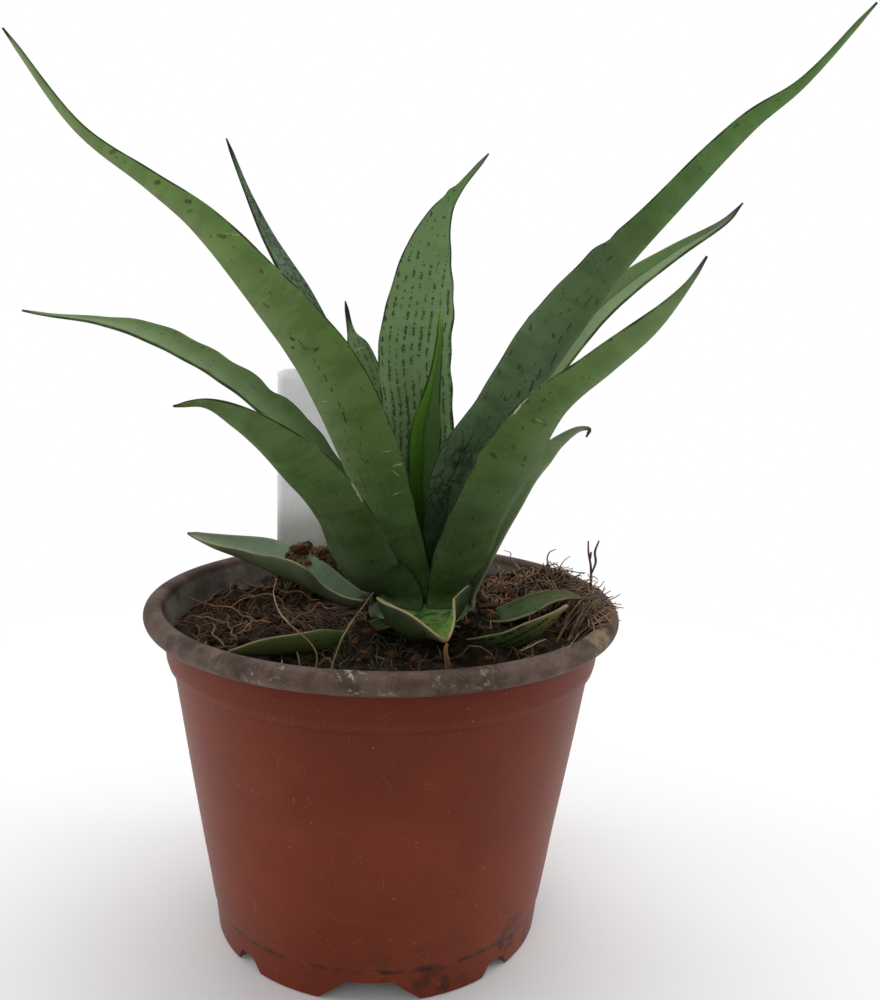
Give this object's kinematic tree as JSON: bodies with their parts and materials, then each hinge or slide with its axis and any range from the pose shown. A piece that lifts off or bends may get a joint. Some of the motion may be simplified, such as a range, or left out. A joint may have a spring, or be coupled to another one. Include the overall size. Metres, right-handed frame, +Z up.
{
  "type": "potted snake plant",
  "caption": "Rosette of patterned, channelled, pointed leaves standing in soil in a round tapered nursery pot with a rolled rim and notched foot, and a blank plant label.",
  "frame": {"origin": "on the pot's axis, on the plane that its feet rest on", "axes": "+Z up along the pot's axis, +X to the picture's right, +Y away from the picture's front"},
  "size_m": [0.2011, 0.12, 0.2254],
  "materials": {
    "pot_terracotta": "satin, dusty and scratched",
    "potting_soil": "rough, fibrous",
    "crown_stem": "dry",
    "label_white": "matte",
    "leaf_green": "waxy, blotched",
    "leaf_blue_green": "waxy, blotched",
    "leaf_grey_green": "waxy, cross banded",
    "leaf_young": "waxy, bright"
  },
  "bodies": {
    "root": {"pot": "pot_terracotta", "soil": "potting_soil", "crown": "crown_stem", "plant_label": "label_white", "leaf_spear": "leaf_young", "leaf_right_long": "leaf_blue_green", "leaf_left_long": "leaf_green", "leaf_back_broad": "leaf_grey_green", "leaf_right_front": "leaf_green", "leaf_left_front": "leaf_green", "leaf_right_back": "leaf_grey_green", "leaf_back_short": "leaf_grey_green", "leaf_left_back": "leaf_grey_green", "leaf_left_arch": "leaf_grey_green", "leaf_right_small": "leaf_grey_green", "leaf_front_low": "leaf_young", "leaf_left_rim": "leaf_grey_green", "leaf_left_soil": "leaf_grey_green", "leaf_right_soil": "leaf_green", "leaf_right_low": "leaf_grey_green"}
  },
  "joints": []
}
